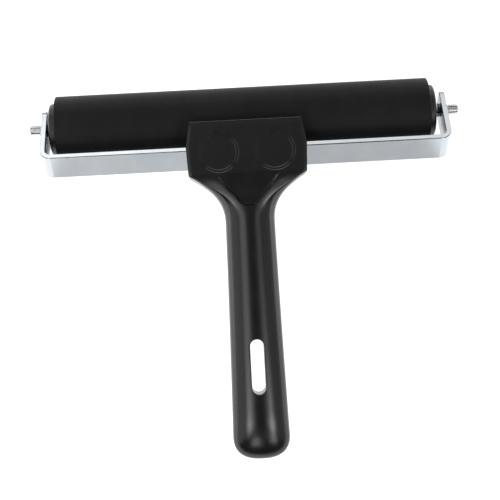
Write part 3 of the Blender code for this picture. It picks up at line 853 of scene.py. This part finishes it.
def screw_piece(name, size, matrix):
    """A pan-head screw with a cross recess; its head sits on z = 0."""
    head, height, shank, length = size
    dome = [(head * cos(a), height * (0.4 + 0.6 * sin(a))) for a in spread(radians(80), 0.0, 7)]
    profile = [
        (0.0, height),
        *dome,
        (head - 0.15 * MM, 0.0),
        (shank, 0.0),
        (shank, 2 * shank - length),
        (shank * 0.2, -length),
        (0.0, -length),
    ]
    screw = lathe(name, profile, matrix, 64)
    arm, blade, floor, top = head * 0.52, 0.34 * MM, height * 0.3, 10 * MM
    first = box_piece(name + "_slot", (-arm, -blade, floor), (arm, blade, top), matrix)
    second = box_piece(name + "_cross", (-blade, -arm, floor), (blade, arm, top + MM), matrix)
    subtract(screw, first, second)
    discard(first, second)
    return shade(screw, 35)


def make_screws(material):
    for number, (x, along) in enumerate(SHELL_SCREW_PLACES, 1):
        place = Matrix.Translation((x, -along, SHELL_SCREW_SEAT - GAP)) @ Matrix.Rotation(pi, 4, "X")
        turn = Matrix.Rotation(SCREW_TURN * number, 4, "Z")
        screw = screw_piece(f"screw_{number}", SHELL_SCREW, HANDLE @ place @ turn)
        dress(screw, material, "frame", f"handle_screw_{number}")
    seat = STRIP_REACH - STRIP_THICKNESS / 2 - GAP
    for side, name in SIDES:
        place = Matrix.Translation((side * CAP_X, -seat, 0)) @ Matrix.Rotation(-pi / 2, 4, "X")
        screw = screw_piece(f"bar_screw_{name}", STRIP_SCREW, STRIP @ place)
        dress(screw, material, "frame", f"strip_screw_{name}")


# ---------------------------------------------------------------- studio

def make_camera():
    """Looks almost straight down on the handle's front, from two thirds of a metre."""
    camera = bpy.data.objects.new("camera", bpy.data.cameras.new("camera"))
    bpy.context.scene.collection.objects.link(camera)
    camera.data.lens = CAMERA_LENS
    camera.data.sensor_width = 36.0
    camera.data.clip_start = 0.01
    turn = Matrix.Rotation(CAMERA_TURN[2], 3, "Z") @ Matrix.Rotation(CAMERA_TURN[1], 3, "Y")
    turn = turn @ Matrix.Rotation(CAMERA_TURN[0], 3, "X")
    shift = Vector((-CAMERA_SHIFT[0], CAMERA_SHIFT[1], -CAMERA_DISTANCE))
    place = Matrix.Translation(-(turn.transposed() @ shift)) @ turn.transposed().to_4x4()
    camera.matrix_world = HANDLE @ place
    bpy.context.scene.camera = camera


def softbox(name, azimuth, elevation, radiance, width, height):
    """An area light a metre from the object; azimuth 0 is the far side, 90 the right."""
    data = bpy.data.lights.new(name, "AREA")
    data.shape = "RECTANGLE"
    data.size, data.size_y = width, height
    data.energy = radiance * pi * width * height
    light = bpy.data.objects.new(name, data)
    bpy.context.scene.collection.objects.link(light)
    turn, rise = radians(azimuth), radians(elevation)
    direction = Vector((cos(rise) * sin(turn), cos(rise) * cos(turn), sin(rise)))
    light.location = direction + Vector((0, 0, 0.02))
    light.rotation_euler = (-direction).to_track_quat("-Z", "Y").to_euler()


def make_floor():
    """A white table that glows, so that it stays white and the steel has it to reflect."""
    bpy.ops.mesh.primitive_plane_add(size=FLOOR_SIZE)
    floor = bpy.context.object
    floor.name = "floor"
    s = Shader("floor_white")
    s.set(s.surface, "Base Color", (0.3, 0.3, 0.3, 1.0))
    s.set(s.surface, "Roughness", 0.8)
    s.set(s.surface, "Specular IOR Level", 0.0)
    s.set(s.surface, "Emission Color", (1.0, 1.0, 1.0, 1.0))
    split = s.node("ShaderNodeSeparateXYZ")
    s.link(s.place, split, "Vector")
    aside = s.node("ShaderNodeMath", operation="ABSOLUTE")
    s.link(split.outputs["X"], aside, "Value")
    glow = s.node("ShaderNodeMath", operation="ADD")
    s.link(s.ramp(aside.outputs["Value"], 0.11, 0.12, FLOOR_GLOW, FLOOR_GLOW_BEYOND), glow, 0)
    s.link(s.ramp(split.outputs["X"], -0.03, 0.03, FLOOR_GLOW_LEFT, 0.0), glow, 1)
    s.link(glow.outputs["Value"], s.surface, "Emission Strength")
    floor.data.materials.append(s.material)
    floor.location.z = -FLOOR_DROP


def make_studio():
    """The floor, a dim cool room and the softboxes around and over the object."""
    make_floor()
    world = bpy.data.worlds.new("studio")
    world.use_nodes = True
    room = world.node_tree.nodes["Background"]
    room.inputs["Color"].default_value = (0.95, 0.97, 1.0, 1.0)
    room.inputs["Strength"].default_value = 0.06
    bpy.context.scene.world = world
    for name, settings in SOFTBOXES.items():
        softbox(name, *settings)
    bpy.context.scene.view_settings.view_transform = "Standard"


def main():
    plastic = moulded_plastic("black_plastic", (0.0026, 0.0026, 0.0027), (0.0034, 0.0034, 0.0036), 0.25, 0.25)
    make_sleeve(ground_rubber())
    make_hubs(moulded_plastic("hub_plastic", (0.005, 0.005, 0.0052), (0.007, 0.007, 0.0073), 0.42, 0.35))
    make_axle(turned_steel("rod_steel", (0.43, 0.427, 0.42), 0.15))
    make_rings(turned_steel("spring_steel", (0.2, 0.2, 0.21), 0.38, (1.0, 1.0, 1.0)))
    make_strip(zinc_plate("zinc_plate", (0.03, 1.0, 1.0)))
    make_handle(plastic)
    make_caps(plastic)
    make_screws(zinc_plate("screw_zinc", (1.0, 1.0, 1.0)))
    bronze = porous_bronze()
    carried = {"roller_core": drawn_aluminium(), "bush_left": bronze, "bush_right": bronze}
    for node, material in carried.items():
        frame["nodes"][node].data.materials.clear()
        frame["nodes"][node].data.materials.append(material)
    make_camera()
    make_studio()


main()
